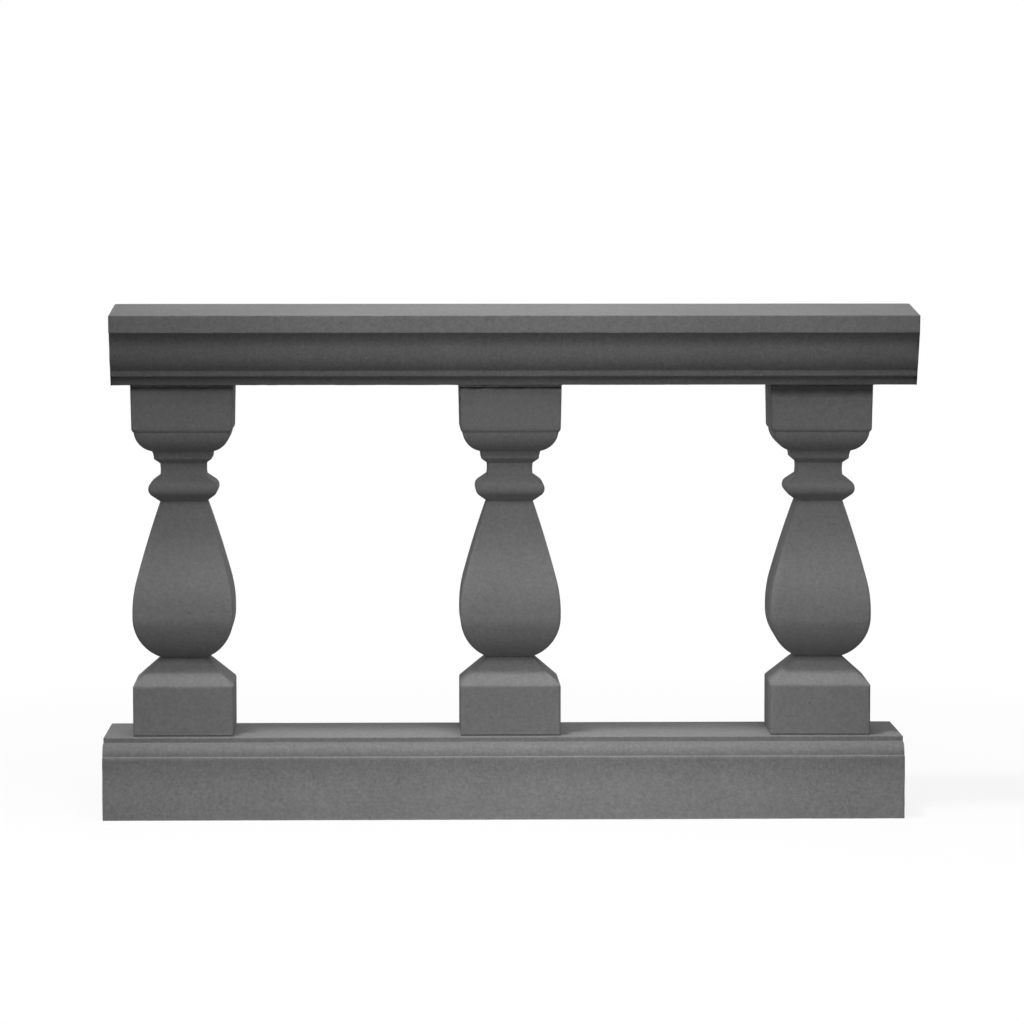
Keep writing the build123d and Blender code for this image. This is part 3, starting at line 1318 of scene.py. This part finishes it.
@dataclass
class Bay:
    """The whole bay: two rails, three balusters, their mortar and their dowels."""

    turned: dict[Place, float] = field(
        default_factory=lambda: {Place.LEFT: 0.7, Place.MIDDLE: 0.3, Place.RIGHT: -1.2}
    )
    # Painted shadow line and painted shade below each head joint, sized per baluster.
    stain: dict[Place, JointShadow] = field(
        default_factory=lambda: {
            Place.LEFT: JointShadow(start=0.6 * MM, solid=3 * MM, fade=4.6 * MM, loss=0.84),
            Place.MIDDLE: JointShadow(start=1.2 * MM, solid=2.8 * MM, fade=2.6 * MM, loss=0.97),
            Place.RIGHT: JointShadow(start=0.3 * MM, solid=6 * MM, fade=10 * MM, loss=0.74),
        }
    )
    plinth_colour: Colour = grey(0.178, 0.002)
    coping_colour: Colour = grey(0.136, 0.002)
    baluster_colour: Colour = grey(0.163, 0.002)
    foot_mortar_colour: Colour = grey(0.11)
    # The head mortar's near-black colour is painted shade, for the shadow in a recessed joint.
    head_mortar_colour: Colour = grey(0.03)
    steel_colour: Colour = (0.55, 0.56, 0.57, 1.0)

    def build(self) -> None:
        """Builds every piece of the bay."""
        effects = Effects(mottling_group(), grain_group(), spots_group())
        plinth_stone = CastStone(
            # Painted light: the plinth's lower face is paler, as if lit from below.
            "Charcoal plinth stone", self.plinth_colour, painted_low_light=0.38, painted_low_light_height=30 * MM, painted_low_light_edge=60 * MM
        ).material(effects)
        coping_stone = CastStone(
            "Charcoal coping stone",
            self.coping_colour,
            fading=1.07,
            # Painted shade darkens the band under the bead.
            painted_low_light=-0.3,
            painted_low_light_height=550.5 * MM,
            painted_low_light_edge=1.5 * MM,
        ).material(effects)
        baluster_stone = CastStone(
            "Charcoal baluster stone",
            self.baluster_colour,
            palest_at=0.1,
            fading=0.5,
            cloud=0.085,
            sand=0.22,
            # Painted light makes the baluster's lower part a little paler.
            painted_low_light=0.1,
            painted_low_light_height=225 * MM,
            painted_low_light_edge=35 * MM,
            # Painted light lifts the shade under the coping just below each head joint.
            painted_joint_light=0.85,
        ).material(effects)
        foot_mortar = Mortar("Flush mortar", self.foot_mortar_colour).material(effects)
        # Flush head beds, near-black as painted shade.
        shaded_head_mortar = Mortar("Dark mortar", self.head_mortar_colour).material(effects)
        steel = DrawnSteel("Drawn steel", self.steel_colour).material(effects)
        PlinthRail("plinth", plinth_stone, "rail_stone").build()
        CopingRail("coping", coping_stone, "rail_stone").build()
        for place in Place:
            Baluster(
                f"baluster_{place.value}",
                baluster_stone,
                "baluster_stone",
                stain=self.stain[place],
                turned=self.turned[place],
            ).build()
            MortarBed(
                f"foot_bed_{place.value}",
                foot_mortar,
                spread=0.4 * MM,
                rough_edge=0.3 * MM,
                turned=self.turned[place],
            ).build()
            MortarBed(
                f"head_bed_{place.value}", shaded_head_mortar, spread=3.2 * MM, turned=self.turned[place]
            ).build()
        Dowels(steel).build()


@dataclass(frozen=True)
class Lamp:
    """A square soft lamp that points at the middle of the bay.

    Args:
        name: the lamp's name.
        place: where it hangs.
        size: its width.
        power: its power in watts.
    """

    name: str
    place: tuple[float, float, float]
    size: float
    power: float

    def hang(self) -> None:
        """Hangs the lamp."""
        data = bpy.data.lights.new(self.name, "AREA")
        data.shape = "SQUARE"
        data.size = self.size
        data.energy = self.power
        lamp = bpy.data.objects.new(self.name, data)
        lamp.location = self.place
        lamp.visible_camera = False
        aim = Vector((0, 0, 0.32)) - lamp.location
        lamp.rotation_euler = aim.to_track_quat("-Z", "Y").to_euler()
        bpy.context.scene.collection.objects.link(lamp)


@dataclass
class Studio:
    """A pale floor, soft lamps and an even sky.

    Args:
        floor_size: width of the floor.
        floor_tone: how pale the floor is.
        floor_bounce: how pale it is for the light that it throws back on the bay.
        paper_near: how far the camera sees the floor as white paper beside the bay, from 0 to 1.
        paper_from: distance from the bay's middle where the floor starts to turn to white paper.
        paper_all: distance where it is nothing but white paper.
        sky: strength of the sky's light.
        lamps: the lamps.
    """

    floor_size: float = 60.0
    floor_tone: float = 0.8
    floor_bounce: float = 0.05
    paper_near: float = 0.88
    paper_from: float = 0.7
    paper_all: float = 1.6
    sky: float = 0.04
    lamps: tuple[Lamp, ...] = (
        Lamp("key", (-0.9, -1.1, 4.6), 0.6, 144.0),
        Lamp("soft left", (-2.2, -2.0, 2.4), 1.5, 18.0),
        Lamp("soft right", (1.0, -2.5, 2.9), 1.5, 37.5),
        Lamp("front", (0.0, -4.5, 1.6), 2.5, 24.0),
        Lamp("near top", (0.07, -0.3, 1.7), 0.8, 5.6),
        Lamp("low", (0.07, -1.3, 0.2), 0.3, 2.6),
        Lamp("back", (0.0, 4.2, 1.3), 2.0, 36.0),
    )

    def build(self) -> None:
        """Builds the floor, the sky and the lamps."""
        self.lay_floor()
        self.light_sky()
        for lamp in self.lamps:
            lamp.hang()

    def lay_floor(self) -> None:
        """Lays the floor, which the camera sees as white paper with the bay's shadow on it."""
        rest_the_hand()
        bpy.ops.mesh.primitive_plane_add(size=self.floor_size, location=(0, 0, 0))
        floor = bpy.context.object
        floor.name = "floor"
        sheet = MaterialSheet("White paper")
        rays = sheet.node("ShaderNodeLightPath")
        floor_colour = sheet.blend(
            rays.outputs["Is Diffuse Ray"], grey(self.floor_tone), grey(self.floor_bounce)
        )
        sheet.join(floor_colour, sheet.shader.inputs["Base Color"])
        sheet.shader.inputs["Roughness"].default_value = 1.0
        distance = sheet.node("ShaderNodeVectorMath", operation="LENGTH")
        sheet.join(sheet.place, distance.inputs[0])
        reach = (self.paper_from, self.paper_all)
        paper = sheet.ramp(distance.outputs["Value"], reach, (self.paper_near, 1.0))
        white = sheet.node("ShaderNodeEmission")
        share = sheet.node("ShaderNodeMixShader")
        sheet.join(sheet.math("MULTIPLY", sheet.seen(), paper), share.inputs[0])
        sheet.join(sheet.shader.outputs[0], share.inputs[1])
        sheet.join(white.outputs[0], share.inputs[2])
        sheet.join(share.outputs[0], sheet.output.inputs["Surface"])
        floor.data.materials.append(sheet.material)

    def light_sky(self) -> None:
        """Sets an even sky that lights softly and that the camera and gloss see as white."""
        sheet = WorldSheet("Even sky")
        strength = sheet.node("ShaderNodeMix")
        strength.inputs[2].default_value = self.sky
        strength.inputs[3].default_value = 1.0
        sheet.join(sheet.seen(), strength.inputs[0])
        sheet.join(strength.outputs[0], sheet.light.inputs["Strength"])


@dataclass(frozen=True)
class PhotoCamera:
    """The camera at the photograph's viewpoint, fitted to the edges of the rails and blocks."""

    place: tuple[float, float, float] = (-0.11018, -5.28678, 0.78039)
    down: float = math.radians(4.36)
    yaw: float = math.radians(-1.25)
    focal_pixels: float = 4203.66
    picture_pixels: int = 1024

    def build(self) -> None:
        """Places the camera and makes it the scene's own."""
        data = bpy.data.cameras.new("photo camera")
        data.sensor_width = 36.0
        data.lens = self.focal_pixels / self.picture_pixels * data.sensor_width
        data.clip_end = 100.0
        camera = bpy.data.objects.new("photo camera", data)
        camera.location = self.place
        camera.rotation_euler = Euler((math.pi / 2 - self.down, 0.0, self.yaw))
        bpy.context.scene.collection.objects.link(camera)
        bpy.context.scene.camera = camera


def main() -> None:
    """Builds the bay, the studio and the camera."""
    logging.basicConfig(level=logging.INFO, format="%(name)s: %(message)s")
    bpy.context.scene.view_settings.view_transform = "Standard"
    Bay().build()
    Studio().build()
    PhotoCamera().build()


if __name__ == "__main__":
    main()
